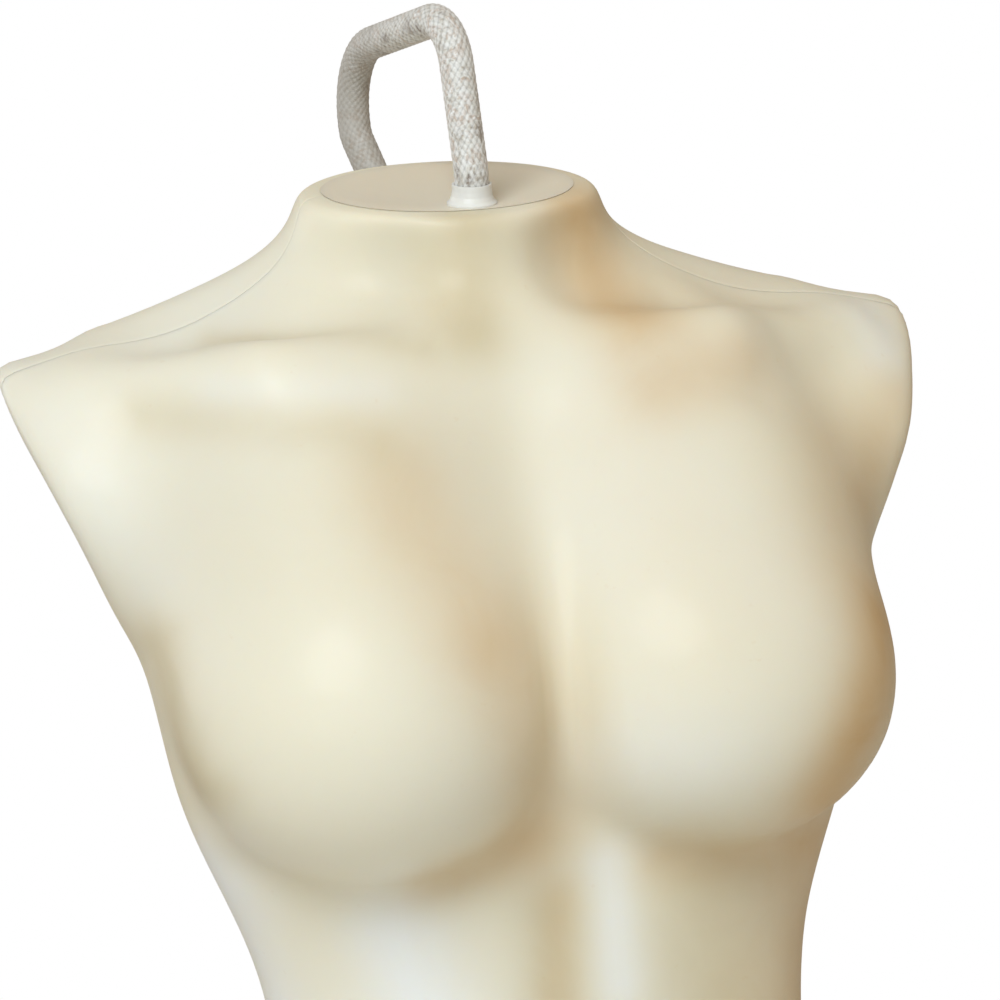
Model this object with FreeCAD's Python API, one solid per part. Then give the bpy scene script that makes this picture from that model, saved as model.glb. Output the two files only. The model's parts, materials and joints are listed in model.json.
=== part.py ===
import FreeCAD, Part
import math
import os

# Hanging torso form: two hollow plastic half shells bonded at the sides, a cap in the neck, and a covered
# steel hanging loop that runs from the neck cap over to the nape. Millimetres. The origin is in the middle
# of the flat base, +Z up, -Y to the front, +X to the form's own left.

V = FreeCAD.Vector

# ------------------------------------------------------------------ driving dimensions: trunk
# Half width, front depth and back depth of the trunk, control values at every TRUNK_STEP of height.
TRUNK_START = -60.0
TRUNK_STEP = 60.0
HALF_WIDTH = [158, 168, 176, 162, 130, 105, 101, 106, 132, 132, 134, 95, 40]
FRONT_DEPTH = [92, 96, 100, 104, 103, 100, 100, 101, 100, 94, 76, 50, 20]
BACK_DEPTH = [95, 104, 112, 104, 80, 60, 60, 72, 84, 92, 90, 66, 40]
BACK_TAPER = 0.20          # how much narrower the trunk is at its back than at its front
SQUARENESS = 2.3           # exponent of the trunk's cross-section, 2 is an ellipse
MIDLINE_SOFTNESS = 12.0    # the two halves' features run together over this distance from the midline
SHOULDER_LEVEL = 612.0     # the trunk alone ends here, under the neck and shoulders
FOOT_TURN_IN = 2.0         # how far the lower edge is turned in
FOOT_HEIGHT = 9.0          # and over what height

# ------------------------------------------------------------------ driving dimensions: neck and arms
NECK_PLANE_POINT = (0.0, 8.0, 656.0)   # a point of the plane that cuts the neck
NECK_PLANE_TILT = math.radians(15.0)   # the plane leans to the front
NECK_RIM_BLEND = 10.0                  # width of the rounded rim
ARM_PLANE_POINT = (186.0, 20.0, 590.0)  # a point of the plane that cuts each shoulder
ARM_PLANE_NORMAL = (0.91, 0.18, -0.44)
ARM_RIM_BLEND = 16.0

# ------------------------------------------------------------------ driving dimensions: shells
WALL = 3.0                 # nominal wall of the moulded shells
SIDE_SQUASH = 0.90         # depth to width ratio of the rays that trace the surface, and of the neck's mouth
TRUNK_SHARE = 0.62         # share of the rings that are level
TRUNK_TOP = 455.0          # height of the last level ring
AXIS_TOP = (21.5, 611.6)   # y and z of the axis point that the neck's mouth is traced from
MOUTH_RISE = 0.90          # rise of the last ring's rays
RINGS = 108
COLUMNS = 81               # odd, so that one column lies on the midline
SIDE_CROWDING = 0.45       # columns are closer together near the side seams

# ------------------------------------------------------------------ driving dimensions: fitted pieces
FIT = 0.15                 # gap between a fitted piece and its seat
CAP_DISH = 1.2             # depth of the neck cap's hollow
STRIP_THICK = 2.0
STRIP_HALF_ANGLE = 0.08
STRIP_RANGE = (0.03, 0.95) # part of the seam's height that the bonding strips cover
BASE_THICK = 6.0
BASE_GAP = 0.5
PLATE_OVERLAP = 2.8        # how far the backing plate reaches under the neck's mouth
PLATE_THICK = 3.0

# ------------------------------------------------------------------ driving dimensions: hanging loop
ROD_R = 4.0
SLEEVE_R = 7.0
BORE_GAP = 0.1
LOOP_FOOT = (2.0, -24.0)   # x and y of the front leg where it leaves the neck cap
LOOP_TURN = math.radians(11.0)  # the loop's plane turns this much from front-to-back
FOOT_STRAIGHT = 12.0       # the front leg stands square on the cap this far
FRONT_INSIDE = 24.0        # length of the front leg inside the neck
REAR_INSIDE = 38.0         # length of the rear leg's inward run
# corners of the loop: distance behind the front leg's first bend, height, bend radius
FRONT_CORNER = (9.0, 723.0, 23.0)
REAR_CORNER = (120.5, 719.0, 28.0)
REAR_KNEE = (117.5, 684.0, 20.0)
REAR_ENTRY = (107.0, 650.0, 9.0)
REAR_LEAN = 8.0            # the rear leg leans this far towards the midline on its way down
FOOT_BEND_R = 20.0
SLEEVE_END = 4.0           # bare rod between the sleeve's rear end and the inward bend
NUT_ACROSS_FLATS = 13.0
NUT_HEIGHT = 6.5
WASHER_R = 9.0
WASHER_THICK = 1.6
BEAD_R = 10.0              # flared foot of the front leg, at the cap
BEAD_TOP_R = 7.9
BEAD_HEIGHT = 8.0
COLLAR_R = 9.0             # collar on the nape
COLLAR_HEIGHT = 4.0
FERRULE_R = 7.8
FERRULE_LENGTH = 7.0


# ================================================================== implicit surface of the torso
def smooth_min(a, b, blend):
    """Smaller of two distances, rounded over where they differ by less than blend."""
    h = max(blend - abs(a - b), 0.0) / blend
    return min(a, b) - h * h * h * blend / 6.0


def smooth_max(a, b, blend):
    return -smooth_min(-a, -b, blend)


def ellipsoid(x, y, z, centre, radii):
    px, py, pz = x - centre[0], y - centre[1], z - centre[2]
    rx, ry, rz = radii
    k0 = math.sqrt((px / rx) ** 2 + (py / ry) ** 2 + (pz / rz) ** 2) + 1e-9
    k1 = math.sqrt((px / rx ** 2) ** 2 + (py / ry ** 2) ** 2 + (pz / rz ** 2) ** 2) + 1e-9
    return k0 * (k0 - 1.0) / k1


def limb(x, y, z, start, end, r_start, r_end, flat=1.0):
    """Rounded cone from start to end; flat makes it thinner from front to back."""
    ux, uy, uz = end[0] - start[0], end[1] - start[1], end[2] - start[2]
    px, py, pz = x - start[0], y - start[1], z - start[2]
    t = (px * ux + py * uy + pz * uz) / (ux * ux + uy * uy + uz * uz)
    t = min(max(t, 0.0), 1.0)
    dx, dy, dz = px - t * ux, (py - t * uy) / flat, pz - t * uz
    return math.sqrt(dx * dx + dy * dy + dz * dz) - (r_start + t * (r_end - r_start))


def along_height(z, values):
    """Uniform cubic B-spline of control values, evaluated at height z."""
    last = len(values) - 1
    t = min(max((z - TRUNK_START) / TRUNK_STEP, 0.0), last - 1e-6)
    i = int(t)
    f = t - i
    v0, v1, v2, v3 = [values[min(max(i + k, 0), last)] for k in (-1, 0, 1, 2)]
    return (
        (1 - f) ** 3 * v0
        + (3 * f ** 3 - 6 * f ** 2 + 4) * v1
        + (-3 * f ** 3 + 3 * f ** 2 + 3 * f + 1) * v2
        + f ** 3 * v3
    ) / 6.0


def trunk(x, y, z):
    width = along_height(z, HALF_WIDTH)
    front = along_height(z, FRONT_DEPTH)
    back = along_height(z, BACK_DEPTH)
    middle, depth = (back - front) / 2, (back + front) / 2
    width *= 1 - BACK_TAPER * min(max((y - middle) / depth, -1.0), 1.0)
    n = SQUARENESS
    px, py = x / width + 1e-6, abs(y - middle) / depth + 1e-6
    q = (px ** n + py ** n) ** (1 / n)
    slope = q ** (1 - n) * math.hypot(px ** (n - 1) / width, py ** (n - 1) / depth)
    s = smooth_max((q - 1) / slope, z - SHOULDER_LEVEL, 40)
    return s + FOOT_TURN_IN * max(1 - z / FOOT_HEIGHT, 0.0) ** 2


def shoulders(s, x, y, z):
    girdle = limb(x, y, z, (45, 10, 547), (205, 22, 552), 62, 46, 0.80)
    chest_edge = limb(x, y, z, (80, -36, 508), (156, -14, 540), 38, 30)
    girdle = smooth_min(girdle, chest_edge, 64)
    px, py, pz = ARM_PLANE_POINT
    nx, ny, nz = ARM_PLANE_NORMAL
    girdle = smooth_max(girdle, (x - px) * nx + (y - py) * ny + (z - pz) * nz, ARM_RIM_BLEND)
    s = smooth_min(s, girdle, 45)
    return smooth_min(s, limb(x, y, z, (10, 32, 617), (137, 36, 592), 40, 16), 46)


def neck(s, x, y, z):
    return smooth_min(s, limb(x, y, z, (0, 24, 560), (0, 5, 690), 65, 60, 0.92), 44)


def collar_bones(s, x, y, z):
    inner = limb(x, y, z, (18, -42, 578), (90, -46, 583), 13, 12)
    outer = limb(x, y, z, (90, -46, 583), (152, -12, 580), 12, 10)
    s = smooth_min(s, smooth_min(inner, outer, 20), 40)
    s = smooth_max(s, -limb(x, y, z, (50, -48, 624), (80, -40, 616), 20, 16), 34)
    return smooth_max(s, -limb(x, y, z, (62, -84, 560), (98, -82, 564), 19, 15), 34)


def bust(s, x, y, z):
    s = smooth_min(s, ellipsoid(x, y, z, (67, -54, 490), (58, 51, 88)), 70)
    rise = min(max((z - 385) / 170, 0.0), 1.0)
    blend = 18 + 72 * rise * rise * (3 - 2 * rise)
    s = smooth_min(s, ellipsoid(x, y, z, (69, -91, 453), (69, 62, 61)), blend)
    return smooth_max(s, -limb(x, y, z, (0, -126, 372), (0, -124, 510), 12, 6), 26)


def belly(s, x, y, z):
    s = smooth_max(s, -limb(x, y, z, (0, -116, 235), (0, -114, 380), 12, 14), 34)
    s = smooth_min(s, ellipsoid(x, y, z, (0, -62, 130), (100, 48, 95)), 50)
    return smooth_max(s, -ellipsoid(x, y, z, (0, -112, 172), (5, 10, 8)), 9)


def back(s, x, y, z):
    s = smooth_min(s, ellipsoid(x, y, z, (68, 60, 505), (40, 30, 66)), 46)
    s = smooth_min(s, ellipsoid(x, y, z, (64, 58, 72), (76, 74, 80)), 36)
    s = smooth_max(s, -limb(x, y, z, (0, 112, 190), (0, 112, 560), 22, 12), 34)
    return smooth_max(s, -limb(x, y, z, (0, 142, -20), (0, 128, 100), 18, 8), 22)


def above_neck_plane(y, z):
    dy, dz = y - NECK_PLANE_POINT[1], z - NECK_PLANE_POINT[2]
    return dz * math.cos(NECK_PLANE_TILT) - dy * math.sin(NECK_PLANE_TILT)


def torso(x, y, z):
    """Signed distance, near enough, to the torso's outer surface: negative inside."""
    x = math.hypot(x, MIDLINE_SOFTNESS)
    s = trunk(x, y, z)
    if z > 380:
        s = shoulders(s, x, y, z)
        s = neck(s, x, y, z)
        s = collar_bones(s, x, y, z)
    if z > 280:
        s = bust(s, x, y, z)
    s = belly(s, x, y, z)
    s = back(s, x, y, z)
    return smooth_max(s, above_neck_plane(y, z), NECK_RIM_BLEND)


# ================================================================== tracing the surface
def ring_frame(v):
    """Axis point (y, z), tilt and rise of the rays of the ring at v, 0 at the base to 1 at the mouth."""
    level = TRUNK_TOP / TRUNK_SHARE
    if v <= TRUNK_SHARE:
        return 0.0, level * v, 0.0, 0.0
    s = v - TRUNK_SHARE
    span = 1 - TRUNK_SHARE
    slowing = (TRUNK_TOP + level * span - AXIS_TOP[1]) / span ** 2
    t = s / span
    height = TRUNK_TOP + level * s - slowing * s * s
    return AXIS_TOP[0] * t ** 2, height, NECK_PLANE_TILT * t ** 3, MOUTH_RISE * t ** 1.2


def trace(frame, angle, level):
    """Point where the ray at this angle meets the given level of the torso's distance field."""
    oy, oz, tilt, rise = frame
    side = SIDE_SQUASH * math.sin(angle)
    dx = math.cos(angle)
    dy = side * math.cos(tilt) - rise * math.sin(tilt)
    dz = side * math.sin(tilt) + rise * math.cos(tilt)

    def field(m):
        return torso(m * dx, oy + m * dy, oz + m * dz) - level

    near, far = 0.0, 240.0
    for _ in range(8):
        middle = (near + far) / 2
        if field(middle) < 0:
            near = middle
        else:
            far = middle
    f_near, f_far = field(near), field(far)
    for _ in range(4):
        middle = near + (far - near) * f_near / (f_near - f_far)
        f_middle = field(middle)
        if f_middle < 0:
            near, f_near, f_far = middle, f_middle, f_far * 0.5
        else:
            far, f_far, f_near = middle, f_middle, f_near * 0.5
        if abs(f_middle) < 1e-5:
            break
    return V(middle * dx, oy + middle * dy, oz + middle * dz)


def mirrored(row):
    """Completes a row of points from the left side to the midline with its mirror image."""
    return row + [V(-p.x, p.y, p.z) for p in reversed(row[:-1])]


def column_angles(count):
    share = [i / (count - 1) for i in range(count)]
    return [math.pi * (u - SIDE_CROWDING / (2 * math.pi) * math.sin(2 * math.pi * u)) for u in share]


def half_grid(side, level):
    """Rows of points over the front (side -1) or back (side 1) half, base to mouth, left to right."""
    angles = column_angles(COLUMNS)[: (COLUMNS + 1) // 2]
    rows = []
    for i in range(RINGS):
        frame = ring_frame(i / (RINGS - 1))
        rows.append(mirrored([trace(frame, side * a, level) for a in angles]))
    return rows


def band_grid(middle, half_angle, level, v_range, rings, columns):
    """Rows of points over a narrow band of the surface around one angle."""
    rows = []
    for i in range(rings):
        v = v_range[0] + (v_range[1] - v_range[0]) * i / (rings - 1)
        frame = ring_frame(v)
        spread = [middle + half_angle * (2 * j / (columns - 1) - 1) for j in range(columns)]
        rows.append([trace(frame, a, level) for a in spread])
    return rows


def surface(rows, degree=3):
    """Clamped uniform B-spline face with the given rows of poles."""
    def knots(count, deg):
        spans = count - deg
        return [deg + 1] + [1] * (spans - 1) + [deg + 1], [float(k) for k in range(spans + 1)]

    u_mults, u_knots = knots(len(rows), degree)
    v_mults, v_knots = knots(len(rows[0]), 3)
    sheet = Part.BSplineSurface()
    sheet.buildFromPolesMultsKnots(rows, u_mults, v_mults, u_knots, v_knots, False, False, degree, 3)
    return sheet.toShape()


def sharpened(rows):
    """Grid of poles whose surface runs through the given points, near enough, and not inside them."""
    def along(line):
        inner = [b * (4 / 3) - (a + c) / 6 for a, b, c in zip(line[1:], line[2:], line[3:-1])]
        return line[:2] + inner + line[-2:]

    across = [along(row) for row in rows]
    down = [along(list(column)) for column in zip(*across)]
    return [list(row) for row in zip(*down)]


def grid_solid(outer, inner):
    """Closed solid between two grids of points that share their layout."""
    outer, inner = sharpened(outer), sharpened(inner)

    def strip(a, b):
        return surface([a, b], 1)

    def column(rows, j):
        return [row[j] for row in rows]

    faces = [
        surface(outer),
        surface(inner),
        strip(outer[0], inner[0]),
        strip(outer[-1], inner[-1]),
        strip(column(outer, 0), column(inner, 0)),
        strip(column(outer, -1), column(inner, -1)),
    ]
    shell = Part.Shell(faces)
    shell.sewShape()
    return outward(Part.Solid(shell))


def outward(solid):
    if solid.Volume < 0:
        solid.reverse()
    return solid


def largest(shape):
    return max(shape.Solids, key=lambda s: s.Volume)


# ================================================================== neck frame and loop path
def neck_normal():
    return V(0, -math.sin(NECK_PLANE_TILT), math.cos(NECK_PLANE_TILT))


def mouth():
    """Centre, height above the axis point and half width of the neck's mouth in the neck plane."""
    axis = V(0, AXIS_TOP[0], AXIS_TOP[1])
    height = -above_neck_plane(axis.y, axis.z)
    return axis + neck_normal() * height, height, height / MOUTH_RISE


def neck_placement():
    """Places local +Z along the neck plane's normal, at the mouth's centre."""
    turn = FreeCAD.Rotation(V(1, 0, 0), math.degrees(NECK_PLANE_TILT))
    return FreeCAD.Placement(mouth()[0], turn)


def on_neck_plane(x, y):
    return V(x, y, NECK_PLANE_POINT[2] + (y - NECK_PLANE_POINT[1]) * math.tan(NECK_PLANE_TILT))


def loop_points():
    """Corners of the hanging loop's centre line, from inside the neck to inside the nape."""
    foot = on_neck_plane(*LOOP_FOOT)
    first = foot + neck_normal() * FOOT_STRAIGHT
    rearward = V(-math.sin(LOOP_TURN), math.cos(LOOP_TURN), 0)

    def corner(spec):
        return V(first.x, first.y, spec[1]) + rearward * spec[0]

    entry = corner(REAR_ENTRY) + V(REAR_LEAN, 0, 0)
    return [
        (foot - neck_normal() * FRONT_INSIDE, 0.0),
        (first, FOOT_BEND_R),
        (corner(FRONT_CORNER), FRONT_CORNER[2]),
        (corner(REAR_CORNER), REAR_CORNER[2]),
        (corner(REAR_KNEE), REAR_KNEE[2]),
        (entry, REAR_ENTRY[2]),
        (entry - rearward * REAR_INSIDE, 0.0),
    ]


def rounded_wire(points):
    """Straight runs joined by tangent arcs."""
    edges = []
    start = points[0][0]
    for (before, _), (corner, radius), (after, _) in zip(points, points[1:], points[2:]):
        into, out = (corner - before).normalize(), (after - corner).normalize()
        tangent = radius * math.tan(into.getAngle(out) / 2)
        a, b = corner - into * tangent, corner + out * tangent
        bisector = (out - into).normalize()
        reach = math.hypot(radius, tangent) - radius
        edges.append(Part.LineSegment(start, a).toShape())
        edges.append(Part.Arc(a, corner + bisector * reach, b).toShape())
        start = b
    edges.append(Part.LineSegment(start, points[-1][0]).toShape())
    return Part.Wire(edges)


def tube(points, radius):
    wire = rounded_wire(points)
    heading = (points[1][0] - points[0][0]).normalize()
    section = Part.Wire(Part.makeCircle(radius, points[0][0], heading))
    return wire.makePipeShell([section], True, True)


def sleeve_points():
    """The covered stretch: from the front bead to just short of the bend into the nape."""
    points = loop_points()
    foot = on_neck_plane(*LOOP_FOOT)
    knee, entry = points[4][0], points[5][0]
    down = (entry - knee).normalize()
    end = entry - down * (REAR_ENTRY[2] + SLEEVE_END)
    return [(foot + neck_normal() * BEAD_HEIGHT * 0.5, 0.0)] + points[1:5] + [(end, 0.0)], down


def turned(profile, origin, axis):
    """Solid of revolution: profile points (radius, distance along the axis) about an axis line."""
    points = [V(r, 0, h) for r, h in profile]
    face = Part.Face(Part.makePolygon(points + points[:1]))
    solid = face.revolve(V(0, 0, 0), V(0, 0, 1), 360)
    solid.Placement = FreeCAD.Placement(origin, FreeCAD.Rotation(V(0, 0, 1), axis))
    return outward(solid)


# ================================================================== the pieces
def half_shell(side):
    return grid_solid(half_grid(side, 0.0), half_grid(side, -WALL))


def seam_strip(middle):
    outer = band_grid(middle, STRIP_HALF_ANGLE, -(WALL + FIT), STRIP_RANGE, 60, 7)
    inner = band_grid(middle, STRIP_HALF_ANGLE, -(WALL + FIT + STRIP_THICK), STRIP_RANGE, 60, 7)
    return grid_solid(outer, inner)


def squashed(solid):
    """Scales local depth so that round pieces become the neck mouth's oval."""
    matrix = FreeCAD.Matrix()
    matrix.A22 = SIDE_SQUASH
    return solid.transformGeometry(matrix)


def neck_cap(rod_hole):
    _, height, half_width = mouth()
    top_r = half_width - FIT
    bottom_r = half_width * (1 - WALL / height) - FIT
    dish_r = top_r - 6.0
    ball_r = (dish_r ** 2 + CAP_DISH ** 2) / (2 * CAP_DISH)
    cone = Part.makeCone(bottom_r, top_r, WALL, V(0, 0, -WALL), V(0, 0, 1))
    cap = cone.cut(Part.makeSphere(ball_r, V(0, 0, ball_r - CAP_DISH)))
    cap = squashed(cap)
    cap.Placement = neck_placement()
    return largest(cap.cut(rod_hole))


def neck_backing_plate(rod_hole):
    _, height, half_width = mouth()
    plate_r = half_width * (1 - WALL / height) + PLATE_OVERLAP
    plate = squashed(Part.makeCylinder(plate_r, PLATE_THICK, V(0, 0, -WALL - 0.4 - PLATE_THICK)))
    plate.Placement = neck_placement()
    return largest(plate.cut(rod_hole))


def base_plate():
    """Flat plate inside the lower edge, with the outline of the shells' inside at the base."""
    angles = [2 * math.pi * i / 72 for i in range(72)]
    outline = [trace((0.0, 0.0, 0.0, 0.0), a, -WALL - BASE_GAP) for a in angles]
    curve = Part.BSplineCurve()
    curve.interpolate(outline, PeriodicFlag=True)
    return Part.Face(Part.Wire(curve.toShape())).extrude(V(0, 0, BASE_THICK))


def front_bead(cap, foot, up):
    bore, sleeve_bore = ROD_R + BORE_GAP, SLEEVE_R + BORE_GAP
    seat = BEAD_HEIGHT * 0.5 - BORE_GAP
    profile = [
        (bore, -CAP_DISH), (BEAD_R, -CAP_DISH), (BEAD_R, 0.6), (BEAD_R - 1.0, 1.6), (BEAD_TOP_R + 0.3, 3.4),
        (BEAD_TOP_R, 5.5), (BEAD_TOP_R, BEAD_HEIGHT), (sleeve_bore, BEAD_HEIGHT),
        (sleeve_bore, seat), (bore, seat),
    ]
    return largest(turned(profile, foot, up).cut(cap))


def rear_collar(nape_shell, wall_point, outward_axis):
    bore = ROD_R + BORE_GAP
    profile = [
        (bore, -3.0), (COLLAR_R, -3.0), (COLLAR_R, 1.5),
        (COLLAR_R - 1.5, COLLAR_HEIGHT), (bore, COLLAR_HEIGHT),
    ]
    collar = turned(profile, wall_point, outward_axis).cut(nape_shell)
    return max(collar.Solids, key=lambda s: (s.CenterOfMass - wall_point).dot(outward_axis))


def sleeve_ferrule(end, down):
    bore, sleeve_bore = ROD_R + BORE_GAP, SLEEVE_R + BORE_GAP
    cover = FERRULE_LENGTH - 2.0
    profile = [
        (bore, 2.0), (bore, 0.1), (sleeve_bore, 0.1), (sleeve_bore, -cover),
        (FERRULE_R, -cover), (FERRULE_R, 1.0), (FERRULE_R - 1.0, 2.0),
    ]
    return turned(profile, end, down)


def wall_crossing(start, heading, radius, level):
    """Distance from start along heading at which a ring of this radius has wholly passed the level."""
    across = heading.cross(V(1, 0, 0)).normalize()
    other = heading.cross(across)
    furthest = 0.0
    for i in range(12):
        a = 2 * math.pi * i / 12
        rim = start + across * (radius * math.cos(a)) + other * (radius * math.sin(a))
        t = 0.0
        while torso(rim.x + heading.x * t, rim.y + heading.y * t, rim.z + heading.z * t) > level:
            t += 0.05
        furthest = max(furthest, t)
    return furthest


def washer(origin, axis):
    disc = Part.makeCylinder(WASHER_R, WASHER_THICK, origin, axis)
    return disc.cut(Part.makeCylinder(ROD_R + BORE_GAP, WASHER_THICK * 3, origin - axis * WASHER_THICK, axis))


def nut(origin, axis):
    corner_r = NUT_ACROSS_FLATS / math.sqrt(3)
    corners = [V(corner_r * math.cos(math.pi * i / 3), corner_r * math.sin(math.pi * i / 3), 0) for i in range(7)]
    block = Part.Face(Part.makePolygon(corners)).extrude(V(0, 0, NUT_HEIGHT))
    block = block.cut(Part.makeCylinder(ROD_R + BORE_GAP / 2, NUT_HEIGHT * 3, V(0, 0, -NUT_HEIGHT)))
    block.Placement = FreeCAD.Placement(origin, FreeCAD.Rotation(V(0, 0, 1), axis))
    return block


def export(name, shape):
    for solid in shape.Solids:
        if not (solid.isValid() and solid.isClosed()):
            print("check this solid:", name)
    shape.exportStep(f"parts/{name}.step")
    print(f"{name}: {len(shape.Solids)} solid(s), {shape.Volume / 1000:.1f} cm3")


def main():
    os.makedirs("parts", exist_ok=True)
    points = loop_points()
    up = neck_normal()
    foot = on_neck_plane(*LOOP_FOOT)
    entry, rod_end = points[5][0], points[6][0]
    inward = (rod_end - entry).normalize()
    rod_hole_front = Part.makeCylinder(ROD_R + FIT, 60, foot - up * 30, up)
    rod_hole_rear = Part.makeCylinder(ROD_R + FIT, REAR_INSIDE, entry, inward)

    front = half_shell(-1)
    rear = largest(half_shell(1).cut(rod_hole_rear))
    cap = neck_cap(rod_hole_front)
    covered, down = sleeve_points()
    sleeve = tube(covered, SLEEVE_R).cut(tube(covered, ROD_R + BORE_GAP))

    outer_skin = wall_crossing(entry, inward, 0.0, 0.0)
    inner_skin = wall_crossing(entry, inward, WASHER_R, -WALL - BORE_GAP)
    rear_seat = entry + inward * inner_skin
    front_seat = foot - up * (WALL + 0.4 + PLATE_THICK + BORE_GAP)

    export("front_shell", front)
    export("back_shell", rear)
    export("left_seam_strip", seam_strip(0.0))
    export("right_seam_strip", seam_strip(math.pi))
    export("base_plate", base_plate())
    export("neck_cap", cap)
    export("neck_backing_plate", neck_backing_plate(rod_hole_front))
    export("hanging_loop_rod", tube(points, ROD_R))
    export("loop_sleeve", sleeve)
    export("front_leg_bead", front_bead(cap, foot, up))
    export("rear_leg_collar", rear_collar(rear, entry + inward * outer_skin, inward * -1))
    export("sleeve_ferrule", sleeve_ferrule(covered[-1][0], down))
    washers = [washer(front_seat, up * -1), washer(rear_seat, inward)]
    export("loop_washers", Part.makeCompound(washers))
    step = WASHER_THICK + BORE_GAP
    nuts = [nut(front_seat - up * step, up * -1), nut(rear_seat + inward * step, inward)]
    export("loop_nuts", Part.makeCompound(nuts))


main()
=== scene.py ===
import json
import math

import bpy
import numpy as np
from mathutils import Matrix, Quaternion, Vector, noise


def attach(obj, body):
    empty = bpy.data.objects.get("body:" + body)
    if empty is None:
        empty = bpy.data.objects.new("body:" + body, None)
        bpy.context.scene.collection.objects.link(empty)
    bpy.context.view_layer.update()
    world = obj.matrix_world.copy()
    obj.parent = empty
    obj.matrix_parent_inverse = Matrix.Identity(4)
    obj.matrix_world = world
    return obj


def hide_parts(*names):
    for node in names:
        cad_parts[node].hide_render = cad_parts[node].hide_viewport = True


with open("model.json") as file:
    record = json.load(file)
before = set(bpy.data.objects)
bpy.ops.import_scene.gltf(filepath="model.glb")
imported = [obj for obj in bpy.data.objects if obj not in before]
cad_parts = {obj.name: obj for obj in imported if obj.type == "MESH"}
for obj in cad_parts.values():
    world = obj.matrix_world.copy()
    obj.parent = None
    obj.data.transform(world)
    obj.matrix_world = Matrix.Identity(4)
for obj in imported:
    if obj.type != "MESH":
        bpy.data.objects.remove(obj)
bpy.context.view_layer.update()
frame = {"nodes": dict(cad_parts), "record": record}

# Looks of a hanging display torso: glossy cream plastic half shells, a dished neck cap and a stiff braided
# hanging loop. The body's surface is an implicit form in millimetres, in the frame's axes: origin on the
# base, +Z up, -Y to the front, +X to the form's own left. Meshes are scaled to metres when they are made.

MM = 0.001
BODY = "root"

# ------------------------------------------------------------------ trunk
TRUNK_START = -60.0
TRUNK_STEP = 60.0
HALF_WIDTH = [158, 168, 176, 162, 130, 105, 101, 106, 132, 132, 134, 95, 40]
FRONT_DEPTH = [92, 96, 100, 104, 103, 100, 100, 101, 100, 94, 76, 50, 20]
BACK_DEPTH = [95, 104, 112, 104, 80, 60, 60, 72, 84, 92, 90, 66, 40]
BACK_TAPER = 0.20
SQUARENESS = 2.3
MIDLINE_SOFTNESS = 12.0
SHOULDER_LEVEL = 612.0
FOOT_TURN_IN = 2.0
FOOT_HEIGHT = 9.0

# ------------------------------------------------------------------ neck and arms
NECK_PLANE_POINT = (0.0, 8.0, 656.0)
NECK_PLANE_TILT = math.radians(15.0)
NECK_RIM_BLEND = 10.0
ARM_PLANE_POINT = (186.0, 20.0, 590.0)
ARM_PLANE_NORMAL = (0.91, 0.18, -0.44)
ARM_RIM_BLEND = 16.0

# ------------------------------------------------------------------ shells
WALL = 3.0
SIDE_SQUASH = 0.90
TRUNK_SHARE = 0.62
TRUNK_TOP = 455.0
AXIS_TOP = (21.5, 611.6)
MOUTH_RISE = 0.90
SIDE_CROWDING = 0.45
RINGS = 270
COLUMNS = 141
RAY_LENGTH = 240.0        # no point of the surface is further from the axis
HALVINGS = 26             # each ray's meeting point is found by halving it this often
SEAM_COLUMNS = (0.004, 0.009, 0.016, 0.026)   # extra columns beside the side seams, radians
SEAM_DEPTH = 0.25
SEAM_HALF_WIDTH = 0.9
SEAM_RADIUS = 120.0       # rough distance from the axis to the side seams
WAVINESS = ((55.0, 0.50), (21.0, 0.20))       # wavelength and depth of the moulded surface's waves
SKIN_MARGIN = 0.25                            # the visible skin stays this far inside the CAD surface

# ------------------------------------------------------------------ hanging loop
SLEEVE_R = 7.0
ROD_R = 4.0
BORE_GAP = 0.1
LOOP_FOOT = (2.0, -24.0)
LOOP_TURN = math.radians(11.0)
FOOT_STRAIGHT = 12.0
FRONT_CORNER = (9.0, 723.0, 23.0)
REAR_CORNER = (120.5, 719.0, 28.0)
REAR_KNEE = (117.5, 684.0, 20.0)
REAR_ENTRY = (107.0, 650.0, 9.0)
REAR_LEAN = 8.0
FOOT_BEND_R = 20.0
SLEEVE_END = 4.0
BEAD_HEIGHT = 8.0
STRANDS = 16              # strands of the braid that run each way round
BRAID_PITCH = 62.0        # length in which a strand goes once round
BRAID_RELIEF = 0.42
BRAID_INSET = 0.05        # the braid stays this far inside the CAD sleeve
SLEEVE_AROUND = 96
SLEEVE_STEP = 0.55
BORE_RINGS = 120
ARC_STEPS = 40            # points along each bend of the loop

# ------------------------------------------------------------------ soft marks of painted shade and painted highlights
# Each mark runs from one point of the body to another: start, end, reach in millimetres, strength.
# tan marks are painted shade: hollows, creases and faces turned away from the lamps
TAN_SHADE_MARKS = {
    "hollow beside the neck": ((46, -23, 640), (54, -45, 602), 20, 0.74),
    "left shoulder's slope": ((66, -30, 604), (118, -8, 606), 20, 0.16),
    "under the left collar bone": ((54, -84, 570), (92, -70, 577), 17, 0.40),
    "left armpit": ((130, -74, 540), (114, -116, 500), 26, 0.30),
    "outside of the left breast": ((127, -118, 476), (98, -126, 412), 19, 0.85),
    "under the left breast": ((40, -101, 393), (104, -80, 391), 14, 0.36),
    "left flank": ((116, -52, 380), (104, -60, 280), 38, 0.55),
    "top of the right breast": ((-50, -112, 538), (-34, -129, 490), 25, 0.34),
    "inside of the right breast": ((-26, -131, 476), (-10, -114, 408), 21, 0.42),
    "under the right breast": ((-14, -101, 402), (-52, -103, 394), 12, 0.40),
    "middle of the belly": ((-2, -96, 380), (-7, -97, 335), 9, 0.25),
    "left chest": ((36, -110, 542), (52, -138, 482), 34, 0.12),
    "left arm's lower edge": ((165, -40, 556), (142, -60, 520), 14, 0.35),
}
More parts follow.
